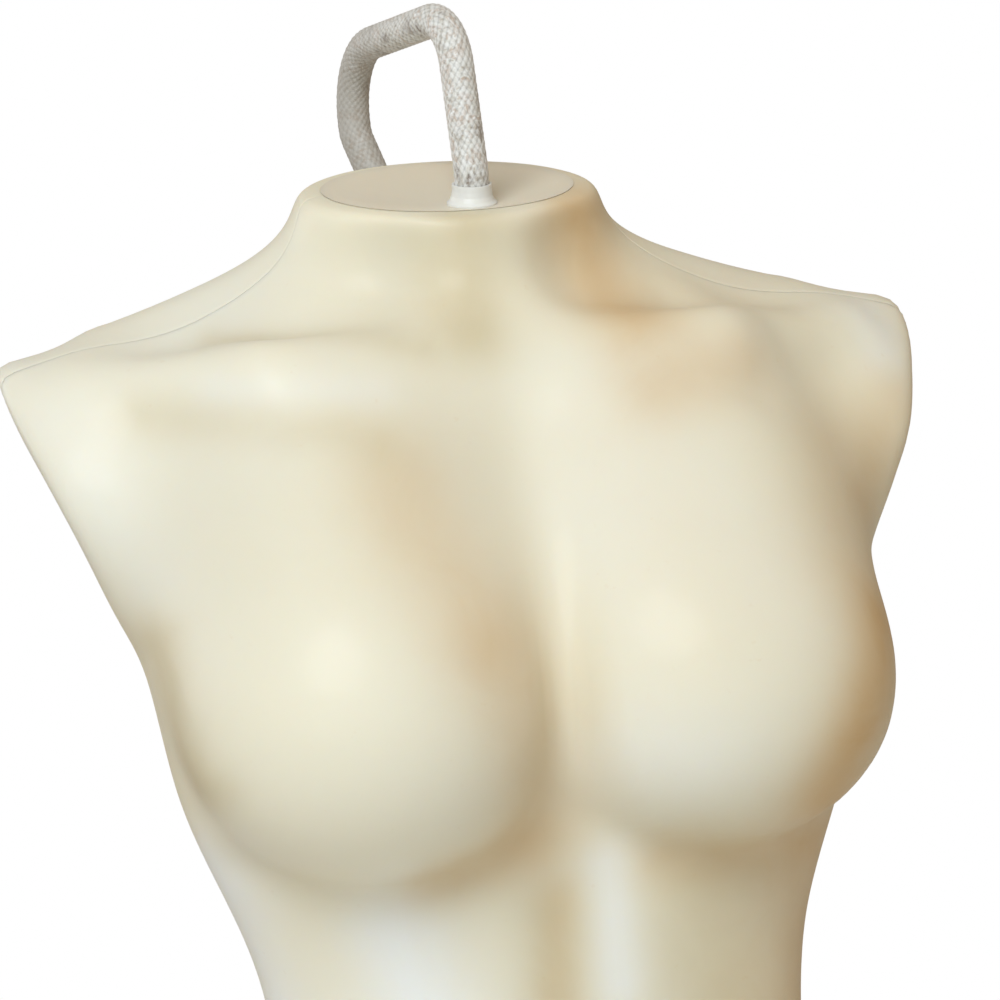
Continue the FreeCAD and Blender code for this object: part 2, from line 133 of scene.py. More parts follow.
# olive marks are painted shade: creases, hollows and the shaded belly and flank
OLIVE_SHADE_MARKS = {
    "above the right collar bone": ((-104, -21, 601), (-30, -63, 592), 7, 0.45),
    "below the right collar bone": ((-138, -40, 575), (-58, -92, 558), 11, 0.42),
    "right chest": ((-110, -100, 530), (-52, -104, 545), 40, 0.26),
    "front of the neck": ((-4, -44, 640), (-10, -52, 598), 17, 0.85),
    "right side of the throat": ((-28, -36, 642), (-36, -46, 604), 18, 0.30),
    "breastbone": ((-8, -77, 560), (-10, -108, 500), 12, 0.12),
    "right flank": ((-142, -69, 488), (-134, -92, 436), 12, 0.85),
    "foot of the right breast": ((-43, -103, 395), (-122, -70, 408), 10, 0.32),
    "left belly": ((56, -97, 380), (62, -96, 290), 30, 0.72),
    "middle of the belly": ((-4, -96, 372), (-7, -97, 310), 15, 0.72),
}
# pale marks are painted highlights and painted light on lit edges
HIGHLIGHT_MARKS = {
    "right side of the neck": ((-34, -30, 636), (-36, -38, 606), 10, 0.20),
    "right collar bone": ((-112, -58, 581), (-52, -79, 577), 9, 0.45),
    "front of the neck's rim": ((-20, -42, 652), (24, -42, 652), 9, 0.60),
    "right arm's edge": ((-168, -32, 572), (-144, -64, 512), 16, 0.25),
    "left breast": ((14, -130, 436), (40, -149, 432), 20, 0.40),
    "right belly": ((-66, -94, 372), (-52, -95, 330), 20, 1.0),
    "inner left belly": ((18, -99, 390), (19, -97, 345), 11, 1.0),
    "right side's foot": ((-128, -50, 398), (-112, -60, 330), 18, 1.0),
    "left arm's edge": ((168, -14, 592), (168, -26, 578), 13, 0.6),
}
MARK_DEPTH = 3.0    # marks follow the surface: distances along Y count this many times less
CREASE_REACHES = (14.0, 30.0, 52.0)   # distances at which a hollow is felt

# ------------------------------------------------------------------ camera and stage, metres
# The form hangs with a slight lean, so the camera is rolled and the form stands upright in its frame.
CAMERA_AZIMUTH = math.radians(-13.0)
CAMERA_ELEVATION = math.radians(2.5)
CAMERA_ROLL = math.radians(-4.5)
CAMERA_DISTANCE = 1.5
CAMERA_TARGET = Vector((0.0094, 0.0, 0.5282))
CAMERA_WIDTH = 0.404      # width of the view at the target
SENSOR = 36.0             # millimetres
FLOOR_RADIUS = 1.5
LAMP_TARGET = Vector((0.0, 0.0, 0.50))


# ================================================================== implicit surface of the torso
def smooth_min(a, b, blend):
    h = np.maximum(blend - np.abs(a - b), 0.0) / blend
    return np.minimum(a, b) - h * h * h * blend / 6.0


def smooth_max(a, b, blend):
    return -smooth_min(-a, -b, blend)


def ellipsoid(x, y, z, centre, radii):
    px, py, pz = x - centre[0], y - centre[1], z - centre[2]
    rx, ry, rz = radii
    k0 = np.sqrt((px / rx) ** 2 + (py / ry) ** 2 + (pz / rz) ** 2) + 1e-9
    k1 = np.sqrt((px / rx ** 2) ** 2 + (py / ry ** 2) ** 2 + (pz / rz ** 2) ** 2) + 1e-9
    return k0 * (k0 - 1.0) / k1


def limb(x, y, z, start, end, r_start, r_end, flat=1.0):
    ux, uy, uz = (e - s for s, e in zip(start, end))
    px, py, pz = x - start[0], y - start[1], z - start[2]
    t = (px * ux + py * uy + pz * uz) / (ux * ux + uy * uy + uz * uz)
    t = np.clip(t, 0.0, 1.0)
    dx, dy, dz = px - t * ux, (py - t * uy) / flat, pz - t * uz
    return np.sqrt(dx * dx + dy * dy + dz * dz) - (r_start + t * (r_end - r_start))


def along_height(z, values):
    values = np.asarray(values, float)
    last = len(values) - 1
    t = np.clip((z - TRUNK_START) / TRUNK_STEP, 0.0, last - 1e-6)
    i = t.astype(int)
    f = t - i
    v0, v1, v2, v3 = (values[np.clip(i + k, 0, last)] for k in (-1, 0, 1, 2))
    return (
        (1 - f) ** 3 * v0
        + (3 * f ** 3 - 6 * f ** 2 + 4) * v1
        + (-3 * f ** 3 + 3 * f ** 2 + 3 * f + 1) * v2
        + f ** 3 * v3
    ) / 6.0


def trunk(x, y, z):
    width = along_height(z, HALF_WIDTH)
    front = along_height(z, FRONT_DEPTH)
    back = along_height(z, BACK_DEPTH)
    middle, depth = (back - front) / 2, (back + front) / 2
    width = width * (1 - BACK_TAPER * np.clip((y - middle) / depth, -1.0, 1.0))
    n = SQUARENESS
    px, py = x / width + 1e-6, np.abs(y - middle) / depth + 1e-6
    q = (px ** n + py ** n) ** (1 / n)
    slope = q ** (1 - n) * np.hypot(px ** (n - 1) / width, py ** (n - 1) / depth)
    s = smooth_max((q - 1) / slope, z - SHOULDER_LEVEL, 40)
    return s + FOOT_TURN_IN * np.maximum(1 - z / FOOT_HEIGHT, 0.0) ** 2


def shoulders(s, x, y, z):
    girdle = limb(x, y, z, (45, 10, 547), (205, 22, 552), 62, 46, 0.80)
    chest_edge = limb(x, y, z, (80, -36, 508), (156, -14, 540), 38, 30)
    girdle = smooth_min(girdle, chest_edge, 64)
    px, py, pz = ARM_PLANE_POINT
    nx, ny, nz = ARM_PLANE_NORMAL
    girdle = smooth_max(girdle, (x - px) * nx + (y - py) * ny + (z - pz) * nz, ARM_RIM_BLEND)
    s = smooth_min(s, girdle, 45)
    return smooth_min(s, limb(x, y, z, (10, 32, 617), (137, 36, 592), 40, 16), 46)


def neck(s, x, y, z):
    return smooth_min(s, limb(x, y, z, (0, 24, 560), (0, 5, 690), 65, 60, 0.92), 44)


def collar_bones(s, x, y, z):
    inner = limb(x, y, z, (18, -42, 578), (90, -46, 583), 13, 12)
    outer = limb(x, y, z, (90, -46, 583), (152, -12, 580), 12, 10)
    s = smooth_min(s, smooth_min(inner, outer, 20), 40)
    s = smooth_max(s, -limb(x, y, z, (50, -48, 624), (80, -40, 616), 20, 16), 34)
    return smooth_max(s, -limb(x, y, z, (62, -84, 560), (98, -82, 564), 19, 15), 34)


def bust(s, x, y, z):
    s = smooth_min(s, ellipsoid(x, y, z, (67, -54, 490), (58, 51, 88)), 70)
    rise = np.clip((z - 385) / 170, 0.0, 1.0)
    blend = 18 + 72 * rise * rise * (3 - 2 * rise)
    s = smooth_min(s, ellipsoid(x, y, z, (69, -91, 453), (69, 62, 61)), blend)
    return smooth_max(s, -limb(x, y, z, (0, -126, 372), (0, -124, 510), 12, 6), 26)


def belly(s, x, y, z):
    s = smooth_max(s, -limb(x, y, z, (0, -116, 235), (0, -114, 380), 12, 14), 34)
    s = smooth_min(s, ellipsoid(x, y, z, (0, -62, 130), (100, 48, 95)), 50)
    return smooth_max(s, -ellipsoid(x, y, z, (0, -112, 172), (5, 10, 8)), 9)


def back(s, x, y, z):
    s = smooth_min(s, ellipsoid(x, y, z, (68, 60, 505), (40, 30, 66)), 46)
    s = smooth_min(s, ellipsoid(x, y, z, (64, 58, 72), (76, 74, 80)), 36)
    s = smooth_max(s, -limb(x, y, z, (0, 112, 190), (0, 112, 560), 22, 12), 34)
    return smooth_max(s, -limb(x, y, z, (0, 142, -20), (0, 128, 100), 18, 8), 22)


def above_neck_plane(y, z):
    dy, dz = y - NECK_PLANE_POINT[1], z - NECK_PLANE_POINT[2]
    return dz * math.cos(NECK_PLANE_TILT) - dy * math.sin(NECK_PLANE_TILT)


def torso(x, y, z):
    """Signed distance, near enough, to the torso's outer surface: negative inside."""
    x = np.sqrt(x * x + MIDLINE_SOFTNESS ** 2)
    s = trunk(x, y, z)
    s = shoulders(s, x, y, z)
    s = neck(s, x, y, z)
    s = collar_bones(s, x, y, z)
    s = bust(s, x, y, z)
    s = belly(s, x, y, z)
    s = back(s, x, y, z)
    return smooth_max(s, above_neck_plane(y, z), NECK_RIM_BLEND)


# ================================================================== tracing the surface into grids
def ring_frames(count):
    """Axis point y and z, tilt and rise of the rays, for each ring from the base to the neck's mouth."""
    v = np.linspace(0, 1, count)
    level = TRUNK_TOP / TRUNK_SHARE
    span = 1 - TRUNK_SHARE
    s = np.maximum(v - TRUNK_SHARE, 0.0)
    t = s / span
    slowing = (TRUNK_TOP + level * span - AXIS_TOP[1]) / span ** 2
    height = level * np.minimum(v, TRUNK_SHARE) + level * s - slowing * s * s
    return AXIS_TOP[0] * t ** 2, height, NECK_PLANE_TILT * t ** 3, MOUTH_RISE * t ** 1.2


def column_angles():
    u = np.linspace(0, 1, COLUMNS)
    base = math.pi * (u - SIDE_CROWDING / (2 * math.pi) * np.sin(2 * math.pi * u))
    extra = np.array(SEAM_COLUMNS)
    keep = (base > extra[-1] * 1.3) & (base < math.pi - extra[-1] * 1.3)
    return np.concatenate([[0.0], extra, base[keep], math.pi - extra[::-1], [math.pi]])


def trace_grid(side, level):
    """Points where the rays of one half (front -1, back 1) meet a level of the distance field."""
    oy, oz, tilt, rise = (a[:, None] for a in ring_frames(RINGS))
    angle = column_angles()[None, :]
    across = side * SIDE_SQUASH * np.sin(angle)
    dx = np.cos(angle) + 0 * oy
    dy = across * np.cos(tilt) - rise * np.sin(tilt)
    dz = across * np.sin(tilt) + rise * np.cos(tilt)
    near, far = np.zeros_like(dx), np.full_like(dx, RAY_LENGTH)
    for _ in range(HALVINGS):
        middle = (near + far) / 2
        inside = torso(middle * dx, oy + middle * dy, oz + middle * dz) < level
        near = np.where(inside, middle, near)
        far = np.where(inside, far, middle)
    return np.stack([near * dx, oy + near * dy, oz + near * dz], -1)


def surface_normals(points):
    x, y, z = points[..., 0], points[..., 1], points[..., 2]
    d = 0.4
    gradient = np.stack([
        torso(x + d, y, z) - torso(x - d, y, z),
        torso(x, y + d, z) - torso(x, y - d, z),
        torso(x, y, z + d) - torso(x, y, z - d),
    ], -1)
    return gradient / (np.linalg.norm(gradient, axis=-1, keepdims=True) + 1e-9)


def waves(points):
    """0 to 1 per unit of depth: the slow, uneven waves of a thin moulded sheet."""
    flat = points.reshape(-1, 3)
    total = np.zeros(len(flat))
    for wavelength, depth in WAVINESS:
        for i, p in enumerate(flat):
            total[i] += depth * (0.5 + 0.5 * noise.noise(Vector(p / wavelength)))
    return total.reshape(points.shape[:-1])


def seam_groove(angle):
    """Depth of the parting line at each column's angle."""
    beside = np.sin(angle) * SEAM_RADIUS
    return SEAM_DEPTH * np.exp(-(beside / SEAM_HALF_WIDTH) ** 2)


def crease_shade(points, normals):
    """Painted shade for hollows: 0 on domes and flats, up to 1 in hollows, by how far the form closes in
    round a point.
    """
    sideways = np.cross(normals, (0.0, 0.0, 1.0))
    sideways /= np.linalg.norm(sideways, axis=-1, keepdims=True) + 1e-9
    upright = np.cross(sideways, normals)
    total = np.zeros(points.shape[:-1])
    leans = (0 * normals, sideways, -sideways, upright, -upright)
    for reach in CREASE_REACHES:
        for lean in leans:
            out = points + (normals + lean) * reach
            clear = torso(out[..., 0], out[..., 1], out[..., 2]) / reach
            total += np.clip(1.0 - clear, 0.0, 2.0) / (len(CREASE_REACHES) * len(leans))
    return np.clip(total * 0.7 - 0.14, 0.0, 1.0)


def painted_light_on(points, marks):
    """0 to 1: how strongly the soft marks of painted shade or painted highlight colour each point."""
    bare = np.ones(points.shape[:-1])
    for start, end, reach, strength in marks.values():
        away = limb(points[..., 0], points[..., 1], points[..., 2], start, end, 0.0, 0.0, MARK_DEPTH)
        bare *= 1 - strength * np.exp(-(away / reach) ** 2)
    return 1 - bare


# ================================================================== mesh helpers
def add_object(name, verts, faces, smooth_faces=None):
    mesh = bpy.data.meshes.new(name)
    mesh.from_pydata([tuple(v) for v in verts], [], faces)
    mesh.update()
    smooth = np.ones(len(faces), bool) if smooth_faces is None else smooth_faces
    mesh.polygons.foreach_set("use_smooth", smooth)
    piece = bpy.data.objects.new(name, mesh)
    bpy.context.scene.collection.objects.link(piece)
    return piece


def grid_faces(rows, columns, offset=0, closed=False, flip=False):
    """Quads of a grid of rows by columns; closed joins the last column to the first."""
    faces = []
    for i in range(rows - 1):
        for j in range(columns if closed else columns - 1):
            k = (j + 1) % columns
            a, b = offset + i * columns + j, offset + i * columns + k
            quad = (a, b, b + columns, a + columns)
            faces.append(quad[::-1] if flip else quad)
    return faces


def bridge(first, second, flip=False):
    """Quads between two equally long chains of vertices."""
    faces = []
    for a, b, c, d in zip(first, first[1:], second[1:], second):
        faces.append((d, c, b, a) if flip else (a, b, c, d))
    return faces


def finish_piece(piece, slot, material, *nodes):
    piece.data.materials.clear()
    piece.data.materials.append(material)
    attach(piece, BODY)
    if nodes:
        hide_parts(*nodes)


def paint(piece, name, values):
    attribute = piece.data.attributes.new(name, "FLOAT", "POINT")
    attribute.data.foreach_set("value", np.asarray(values, np.float32))


# ================================================================== the shells
def half_shell(name, side):
    """Closed mesh of one half: fine outer skin, inner wall, and the edges between them."""
    outer = trace_grid(side, -SKIN_MARGIN)
    inner = trace_grid(side, -WALL)
    normals = surface_normals(outer)
    # painted shade (crease, tan, olive) and painted highlights (pale), kept per point
    tints = {
        "crease": crease_shade(outer, normals),
        "tan": painted_light_on(outer, TAN_SHADE_MARKS),
        "olive_shade": painted_light_on(outer, OLIVE_SHADE_MARKS),
        "pale_highlight": painted_light_on(outer, HIGHLIGHT_MARKS),
    }
    angle = column_angles()
    depth = waves(outer) + seam_groove(angle)[None, :]
    settle = np.linspace(0, 1, RINGS)
    ends = np.clip(settle / 0.012, 0, 1) * np.clip((1 - settle) / 0.02, 0, 1)
    outer = outer - normals * (depth * ends[:, None])[..., None]
    rows, columns = outer.shape[:2]
    count = rows * columns
    verts = np.concatenate([outer.reshape(-1, 3), inner.reshape(-1, 3)]) * MM
    index = np.arange(2 * count).reshape(2, rows, columns)
    flip = side > 0
    faces = grid_faces(rows, columns, 0, flip=not flip)
    faces += grid_faces(rows, columns, count, flip=flip)
    smooth = [True] * len(faces)
    edges = bridge(list(index[0, 0]), list(index[1, 0]), flip)
    edges += bridge(list(index[0, -1]), list(index[1, -1]), not flip)
    edges += bridge(list(index[0, :, 0]), list(index[1, :, 0]), not flip)
    edges += bridge(list(index[0, :, -1]), list(index[1, :, -1]), flip)
    edges = [tuple(int(i) for i in face) for face in edges]
    smooth += [False] * len(edges)
    piece = add_object(name, verts, faces + edges, np.array(smooth))
    for tint, values in tints.items():
        paint(piece, tint, np.concatenate([values.reshape(-1), np.zeros(count)]))
    return piece


# ================================================================== the hanging loop
def neck_normal():
    return Vector((0, -math.sin(NECK_PLANE_TILT), math.cos(NECK_PLANE_TILT)))


def on_neck_plane(x, y):
    return Vector((x, y, NECK_PLANE_POINT[2] + (y - NECK_PLANE_POINT[1]) * math.tan(NECK_PLANE_TILT)))


def covered_corners():
    """Corners and bend radii of the covered stretch of the loop."""
    foot = on_neck_plane(*LOOP_FOOT)
    first = foot + neck_normal() * FOOT_STRAIGHT
    rearward = Vector((-math.sin(LOOP_TURN), math.cos(LOOP_TURN), 0))

    def corner(spec):
        return Vector((first.x, first.y, spec[1])) + rearward * spec[0]

    knee, entry = corner(REAR_KNEE), corner(REAR_ENTRY) + Vector((REAR_LEAN, 0, 0))
    end = entry - (entry - knee).normalized() * (REAR_ENTRY[2] + SLEEVE_END)
    return [
        (foot + neck_normal() * BEAD_HEIGHT * 0.5, 0.0),
        (first, FOOT_BEND_R),
        (corner(FRONT_CORNER), FRONT_CORNER[2]),
        (corner(REAR_CORNER), REAR_CORNER[2]),
        (knee, REAR_KNEE[2]),
        (end, 0.0),
    ]


def rounded_path(corners, step):
    """Evenly spaced points along straight runs joined by tangent arcs."""
    dense = [corners[0][0]]
    for (before, _), (corner, radius), (after, _) in zip(corners, corners[1:], corners[2:]):
        into, out = (corner - before).normalized(), (after - corner).normalized()
        turn = into.angle(out)
        tangent = radius * math.tan(turn / 2)
        bisector = (out - into).normalized()
        centre = corner + bisector * math.hypot(radius, tangent)
        start = corner - into * tangent - centre
        axis = into.cross(out).normalized()
        for k in range(ARC_STEPS + 1):
            dense.append(centre + Quaternion(axis, turn * k / ARC_STEPS) @ start)
    dense.append(corners[-1][0])
    points = np.array([tuple(p) for p in dense])
    length = np.concatenate([[0], np.cumsum(np.linalg.norm(np.diff(points, axis=0), axis=1))])
    count = int(length[-1] / step) + 1
    where = np.linspace(0, length[-1], count)
    return np.stack([np.interp(where, length, points[:, i]) for i in range(3)], -1), where


def path_frames(points):
    """Unit side and up vectors carried along the path without twist."""
    tangent = np.gradient(points, axis=0)
    tangent /= np.linalg.norm(tangent, axis=1, keepdims=True)
    side = np.empty_like(points)
    side[0] = (1.0, 0.0, 0.0)
    for i in range(len(points)):
        carried = side[max(i - 1, 0)]
        carried = carried - tangent[i] * (carried @ tangent[i])
        side[i] = carried / np.linalg.norm(carried)
    return side, np.cross(tangent, side)


def braid_height(around, along):
    """Relief of a plain braid, 0 to 1, and which way the strand on top runs (1 or 0)."""
    turn = around / (2 * math.pi)
    a = STRANDS * (turn + along / BRAID_PITCH)
    b = STRANDS * (turn - along / BRAID_PITCH)
    across_a, across_b = 2 * (a % 1.0) - 1, 2 * (b % 1.0) - 1
    round_a = np.sqrt(np.maximum(1 - across_a ** 2, 0.0))
    round_b = np.sqrt(np.maximum(1 - across_b ** 2, 0.0))
    crossing = np.sin(math.pi * (np.floor(a) + b))
    crossing_b = np.sin(math.pi * (np.floor(b) + a + 1))
    height_a = round_a * (0.55 + 0.45 * crossing)
    height_b = round_b * (0.55 + 0.45 * crossing_b)
    return np.maximum(height_a, height_b), (height_a > height_b).astype(float)


def loop_sleeve():
    points, along = rounded_path(covered_corners(), SLEEVE_STEP)
    side, up = path_frames(points)
    around = np.linspace(0, 2 * math.pi, SLEEVE_AROUND, endpoint=False)
    height, top = braid_height(around[None, :], along[:, None])
    radius = SLEEVE_R - BRAID_INSET - BRAID_RELIEF * (1 - height)
    skin = (
        points[:, None]
        + side[:, None] * (radius * np.cos(around))[..., None]
        + up[:, None] * (radius * np.sin(around))[..., None]
    )
    every = np.unique(np.linspace(0, len(points) - 1, BORE_RINGS).astype(int))
    bore_r = ROD_R + BORE_GAP
    bore = (
        points[every, None]
        + side[every, None] * (bore_r * np.cos(around))[None, :, None]
        + up[every, None] * (bore_r * np.sin(around))[None, :, None]
    )
    n = SLEEVE_AROUND
    rows = len(points)
    count = rows * n
    verts = np.concatenate([skin.reshape(-1, 3), bore.reshape(-1, 3)]) * MM
    faces = grid_faces(rows, n, 0, closed=True)
    faces += grid_faces(len(every), n, count, closed=True, flip=True)
    ring = list(range(n)) + [0]
    faces += bridge(ring, [count + i for i in ring], True)
    last, last_bore = count - n, count + (len(every) - 1) * n
    faces += bridge([last + i for i in ring], [last_bore + i for i in ring], False)
    piece = add_object("braided_sleeve", verts, faces)
    paint(piece, "relief", np.concatenate([height.reshape(-1), np.zeros(len(bore) * n)]))
    paint(piece, "strand", np.concatenate([top.reshape(-1), np.zeros(len(bore) * n)]))
    return piece


# ================================================================== materials
class Shader:
    """Small helper round a material's node tree."""

    def __init__(self, name):
        self.material = bpy.data.materials.new(name)
        self.material.use_nodes = True
        self.tree = self.material.node_tree
        self.surface = self.tree.nodes["Principled BSDF"]

    def node(self, kind, inputs=None, **settings):
        made = self.tree.nodes.new(kind)
        for key, value in settings.items():
            setattr(made, key, value)
        for key, value in (inputs or {}).items():
            self.put(made.inputs[key], value)
        return made

    def put(self, socket, value):
        if isinstance(value, bpy.types.NodeSocket):
            self.tree.links.new(value, socket)
        else:
            socket.default_value = value

    def set(self, **values):
        for key, value in values.items():
            self.put(self.surface.inputs[key.replace("_", " ")], value)

    def position(self):
        return self.node("ShaderNodeTexCoord").outputs["Object"]

    def noise(self, scale, detail=3.0, rough=0.5, distortion=0.0):
        inputs = {
            "Vector": self.position(), "Scale": scale, "Detail": detail,
            "Roughness": rough, "Distortion": distortion,
        }
        return self.node("ShaderNodeTexNoise", inputs).outputs["Fac"]

    def ramp(self, value, stops):
        made = self.node("ShaderNodeValToRGB", {"Fac": value})
        ramp = made.color_ramp
        while len(ramp.elements) < len(stops):
            ramp.elements.new(0.5)
        for element, (place, colour) in zip(ramp.elements, stops):
            element.position = place
            element.color = (*colour, 1.0) if hasattr(colour, "__len__") else (colour, colour, colour, 1.0)
        return made.outputs["Color"]

    def mix(self, share, a, b, blend="MIX"):
        made = self.node("ShaderNodeMix", data_type="RGBA", blend_type=blend)
        for socket, value in ((made.inputs[0], share), (made.inputs[6], a), (made.inputs[7], b)):
            if isinstance(value, tuple):
                value = (*value, 1.0)
            self.put(socket, value)
        return made.outputs[2]

    def span(self, value, low, high):
        inputs = {"Value": value, "To Min": low, "To Max": high}
        return self.node("ShaderNodeMapRange", inputs).outputs["Result"]

    def times(self, a, b):
        return self.node("ShaderNodeMath", {0: a, 1: b}, operation="MULTIPLY").outputs[0]

    def bump(self, height, distance, strength=1.0, normal=None):
        inputs = {"Height": height, "Distance": distance, "Strength": strength}
        if normal is not None:
            inputs["Normal"] = normal
        return self.node("ShaderNodeBump", inputs).outputs["Normal"]


COOL = (0.79, 0.78, 0.69)
CREAM = (0.82, 0.765, 0.60)
# The cap's colours are the shells' colours made darker: painted shade on the cap's upward face.
CAP_SHADED_COOL = (0.76, 0.73, 0.63)
CAP_SHADED_CREAM = (0.77, 0.70, 0.57)
# The next three colours: a painted highlight, painted shade, and painted shade that also tints the fine
# specks.
HIGHLIGHT_PALE = (0.86, 0.88, 0.86)
SHADE_OLIVE = (0.60, 0.53, 0.36)
TAN_SHADE_AND_SPECKS = (0.60, 0.39, 0.17)
SKIN_ROUGHNESS = 0.46


def body_plastic(name, cool, cream):
    """Glossy cream plastic: cloudy, a little translucent, with painted shade in soft tan and olive and
    painted highlights in pale.
    """
    s = Shader(name)
    cloud = s.noise(5.0, 2.0, 0.45, 0.4)
    colour = s.mix(s.ramp(cloud, [(0.36, 0.0), (0.64, 1.0)]), cool, cream)
    uneven = s.noise(22.0, 4.0, 0.6, 0.8)
    # painted highlights, then painted shade in hollows and on faces turned away from the lamps
    for tint, deep in (("pale_highlight", HIGHLIGHT_PALE), ("crease", SHADE_OLIVE), ("olive_shade", SHADE_OLIVE), ("tan", TAN_SHADE_AND_SPECKS)):
        amount = s.node("ShaderNodeAttribute", attribute_name=tint).outputs["Fac"]
        colour = s.mix(s.times(amount, s.span(uneven, 0.65, 1.25)), colour, deep)
    specks = s.ramp(s.noise(210.0, 2.0, 0.6), [(0.70, 0.0), (0.78, 1.0)])
    colour = s.mix(s.times(specks, 0.08), colour, TAN_SHADE_AND_SPECKS)
    s.set(Base_Color=colour)
    scuffs = s.ramp(s.noise(26.0, 5.0, 0.62, 0.8), [(0.35, 0.0), (0.75, 1.0)])
    s.set(Roughness=s.span(scuffs, SKIN_ROUGHNESS, SKIN_ROUGHNESS + 0.14))
    fine = s.bump(s.noise(900.0, 2.0), 0.00002, 0.35)
    s.set(Normal=s.bump(s.noise(60.0, 2.0), 0.0004, 0.35, fine))
    s.set(Subsurface_Weight=0.22, Subsurface_Radius=(1.0, 0.62, 0.36), Subsurface_Scale=0.010)
    s.set(IOR=1.49, Specular_IOR_Level=0.24, Coat_Weight=0.08, Coat_Roughness=0.12)
    return s.material


def inner_plastic():
    s = Shader("inner_plastic")
    cloud = s.noise(18.0, 4.0)
    s.set(Base_Color=s.mix(cloud, (0.70, 0.65, 0.53), (0.78, 0.73, 0.62)))
    s.set(Roughness=s.span(s.noise(120.0, 3.0), 0.48, 0.66))
    s.set(Normal=s.bump(s.noise(400.0, 3.0), 0.0002, 0.5))
    return s.material


def bead_plastic():
    s = Shader("bead_plastic")
    cloud = s.noise(70.0, 3.0)
    s.set(Base_Color=s.mix(cloud, (0.66, 0.68, 0.67), (0.83, 0.85, 0.84)))
    s.set(Roughness=s.span(s.noise(160.0, 4.0), 0.28, 0.46))
    s.set(Normal=s.bump(s.noise(240.0, 2.0), 0.0003, 0.4))
    s.set(Subsurface_Weight=0.15, Subsurface_Radius=(1.0, 0.8, 0.6), Subsurface_Scale=0.004)
    return s.material


def zinc_steel():
    s = Shader("zinc_steel")
    cloud = s.noise(90.0, 4.0, 0.6)
    s.set(Base_Color=s.mix(cloud, (0.50, 0.50, 0.49), (0.68, 0.68, 0.66)))
    s.set(Roughness=s.span(s.noise(300.0, 4.0, 0.65), 0.28, 0.48))
    s.set(Normal=s.bump(s.noise(700.0, 3.0), 0.0001, 0.35))
    s.set(Metallic=1.0)
    return s.material


def braid_cover():
    """Grey and off-white braid with brown flecks, with painted shade between its strands and painted shade
    darker towards the rear.
    """
    s = Shader("braid_cover")
    patches = s.noise(105.0, 4.0, 0.62, 0.8)
    colour = s.ramp(patches, [
        (0.32, (0.24, 0.20, 0.17)), (0.42, (0.50, 0.47, 0.42)), (0.50, (0.72, 0.74, 0.72)),
        (0.58, (0.50, 0.41, 0.34)), (0.68, (0.90, 0.93, 0.95)),
    ])
    flecks = s.ramp(s.noise(420.0, 3.0, 0.7), [(0.42, 0.0), (0.60, 0.6)])
    colour = s.mix(flecks, colour, (0.86, 0.90, 0.93))
    strand = s.node("ShaderNodeAttribute", attribute_name="strand").outputs["Fac"]
    colour = s.mix(s.span(strand, 0.0, 0.25), colour, (0.80, 0.83, 0.85))
    relief = s.node("ShaderNodeAttribute", attribute_name="relief").outputs["Fac"]
    # painted shade in the recesses between the strands
    shade = s.ramp(relief, [(0.15, 0.50), (0.75, 0.96)])
    colour = s.mix(1.0, colour, shade, "MULTIPLY")
    # painted shade: darker towards the rear of the loop
    place = s.node("ShaderNodeSeparateXYZ", {"Vector": s.position()})
    inputs = {
        "Value": place.outputs["Y"], "From Min": 0.02, "From Max": 0.09,
        "To Min": 0.0, "To Max": 0.78,
    }
    rearward = s.node("ShaderNodeMapRange", inputs).outputs["Result"]
    s.set(Base_Color=s.mix(rearward, colour, (0.33, 0.31, 0.28)))
    s.set(Roughness=s.span(s.noise(400.0, 3.0), 0.42, 0.70))
    fibres = s.noise(1500.0, 3.0, 0.6, 1.2)
    s.set(Normal=s.bump(fibres, 0.0002, 0.6))
    s.set(Sheen_Weight=0.25, Sheen_Roughness=0.4)
    return s.material


def stage_paint():
    s = Shader("stage_paint")
    s.set(Base_Color=s.mix(s.noise(3.0, 2.0), (0.80, 0.80, 0.80), (0.82, 0.82, 0.815)))
    s.set(Roughness=0.9)
    s.set(Specular_IOR_Level=0.0)
    return s.material


# ================================================================== stage, light and camera
def studio_floor():
    """Plain pale round floor under the form."""
    turns = np.linspace(0, 2 * math.pi, 96, endpoint=False)
    verts = [(FLOOR_RADIUS * math.cos(a), FLOOR_RADIUS * math.sin(a), 0.0) for a in turns]
    floor = add_object("studio_floor", verts, [tuple(range(len(verts)))])
    floor.data.materials.append(stage_paint())


def softbox(name, place, size, power, colour):
    """Round soft lamp that the camera doesn't see."""
    lamp = bpy.data.lights.new(name, "AREA")
    lamp.shape = "ELLIPSE"
    lamp.size, lamp.size_y = size
    lamp.energy = power
    lamp.color = colour
    light = bpy.data.objects.new(name, lamp)
    bpy.context.scene.collection.objects.link(light)
    light.location = place
    light.rotation_mode = "QUATERNION"
    light.rotation_quaternion = (LAMP_TARGET - Vector(place)).to_track_quat("-Z", "Y")
    light.visible_camera = False


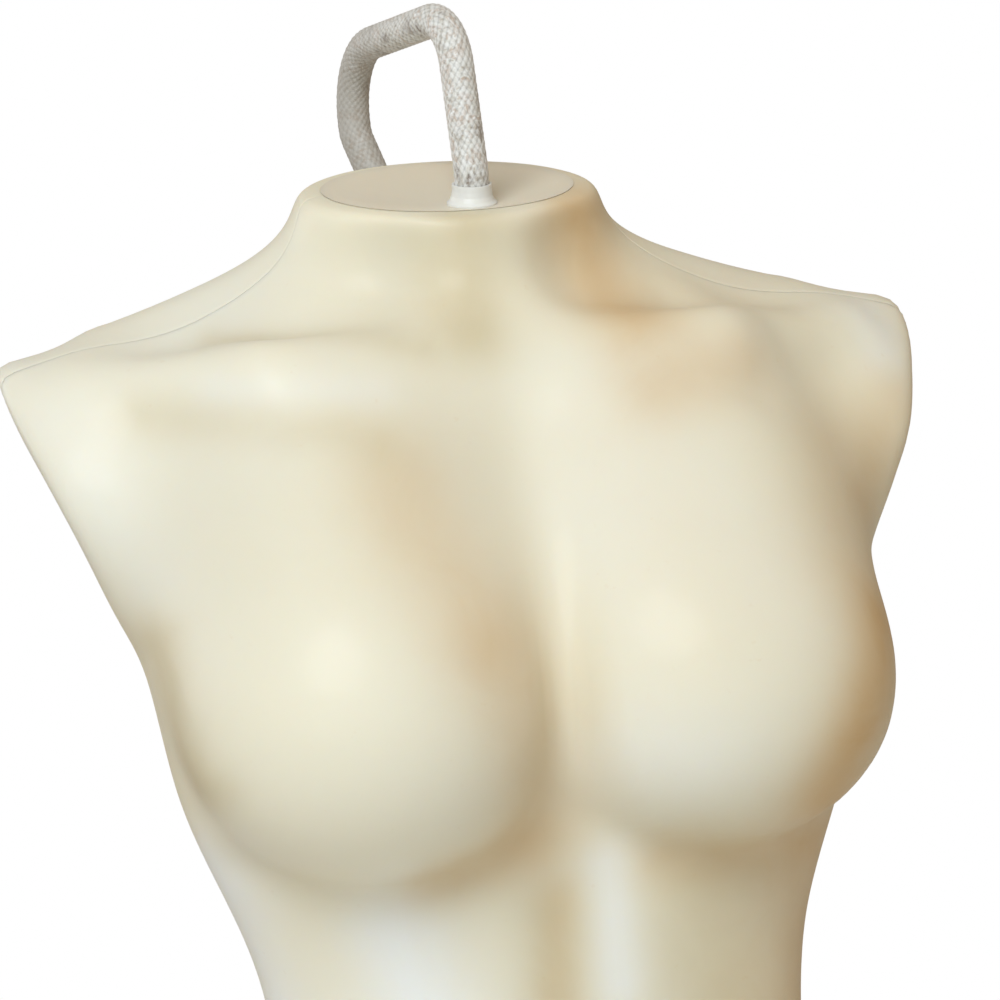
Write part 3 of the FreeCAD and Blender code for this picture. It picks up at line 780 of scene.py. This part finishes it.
def lights():
    bpy.context.scene.view_settings.view_transform = "Standard"
    world = bpy.data.worlds.new("studio")
    bpy.context.scene.world = world
    world.use_nodes = True
    tree = world.node_tree
    room, output = tree.nodes["Background"], tree.nodes["World Output"]
    room.inputs["Color"].default_value = (1.0, 0.82, 0.62, 1.0)
    room.inputs["Strength"].default_value = 0.33
    backdrop = tree.nodes.new("ShaderNodeBackground")     # plain white behind the form, in every view
    backdrop.inputs["Color"].default_value = (1.0, 1.0, 1.0, 1.0)
    seen = tree.nodes.new("ShaderNodeLightPath")
    both = tree.nodes.new("ShaderNodeMixShader")
    tree.links.new(seen.outputs["Is Camera Ray"], both.inputs[0])
    tree.links.new(room.outputs[0], both.inputs[1])
    tree.links.new(backdrop.outputs[0], both.inputs[2])
    tree.links.new(both.outputs[0], output.inputs["Surface"])
    softbox("key", (-0.85, -1.60, 1.95), (1.3, 1.3), 36.0, (0.92, 0.97, 1.0))
    softbox("front", (-0.50, -2.2, 0.70), (2.0, 1.2), 7.0, (0.90, 1.0, 1.0))
    softbox("spark", (-1.1, -1.55, 0.60), (0.10, 0.10), 0.5, (1.0, 1.0, 0.95))
    softbox("warm_fill", (1.3, -0.6, 2.0), (1.2, 1.2), 2.8, (1.0, 0.78, 0.50))
    softbox("back_light", (-1.7, 1.6, 1.1), (1.4, 1.4), 11.0, (0.94, 0.98, 1.0))


def camera():
    level = math.cos(CAMERA_ELEVATION)
    back = Vector((
        math.sin(CAMERA_AZIMUTH) * level,
        -math.cos(CAMERA_AZIMUTH) * level,
        math.sin(CAMERA_ELEVATION),
    ))
    data = bpy.data.cameras.new("camera")
    data.sensor_width = SENSOR
    data.lens = SENSOR * CAMERA_DISTANCE / CAMERA_WIDTH
    eye = bpy.data.objects.new("camera", data)
    bpy.context.scene.collection.objects.link(eye)
    eye.location = CAMERA_TARGET + back * CAMERA_DISTANCE
    eye.rotation_mode = "QUATERNION"
    eye.rotation_quaternion = (-back).to_track_quat("-Z", "Y") @ Quaternion((0, 0, 1), CAMERA_ROLL)
    bpy.context.scene.camera = eye


# ================================================================== assembly
def main():
    studio_floor()
    lights()
    camera()

    skin = body_plastic("body_plastic", COOL, CREAM)
    finish_piece(half_shell("front_half", -1), "shell_plastic", skin, "front_shell")
    finish_piece(half_shell("back_half", 1), "shell_plastic", skin, "back_shell")
    finish_piece(loop_sleeve(), "loop_cover", braid_cover(), "loop_sleeve")

    finishes = {
        "cap_plastic": body_plastic("cap_plastic", CAP_SHADED_COOL, CAP_SHADED_CREAM),
        "inner_plastic": inner_plastic(),
        "bead_plastic": bead_plastic(),
        "plated_steel": zinc_steel(),
    }
    slots = {s["node"]: s["material_slot"] for s in frame["record"]["subparts"]}
    for name, node in frame["nodes"].items():
        if slots[name] in finishes:
            node.data.materials.clear()
            node.data.materials.append(finishes[slots[name]])


main()
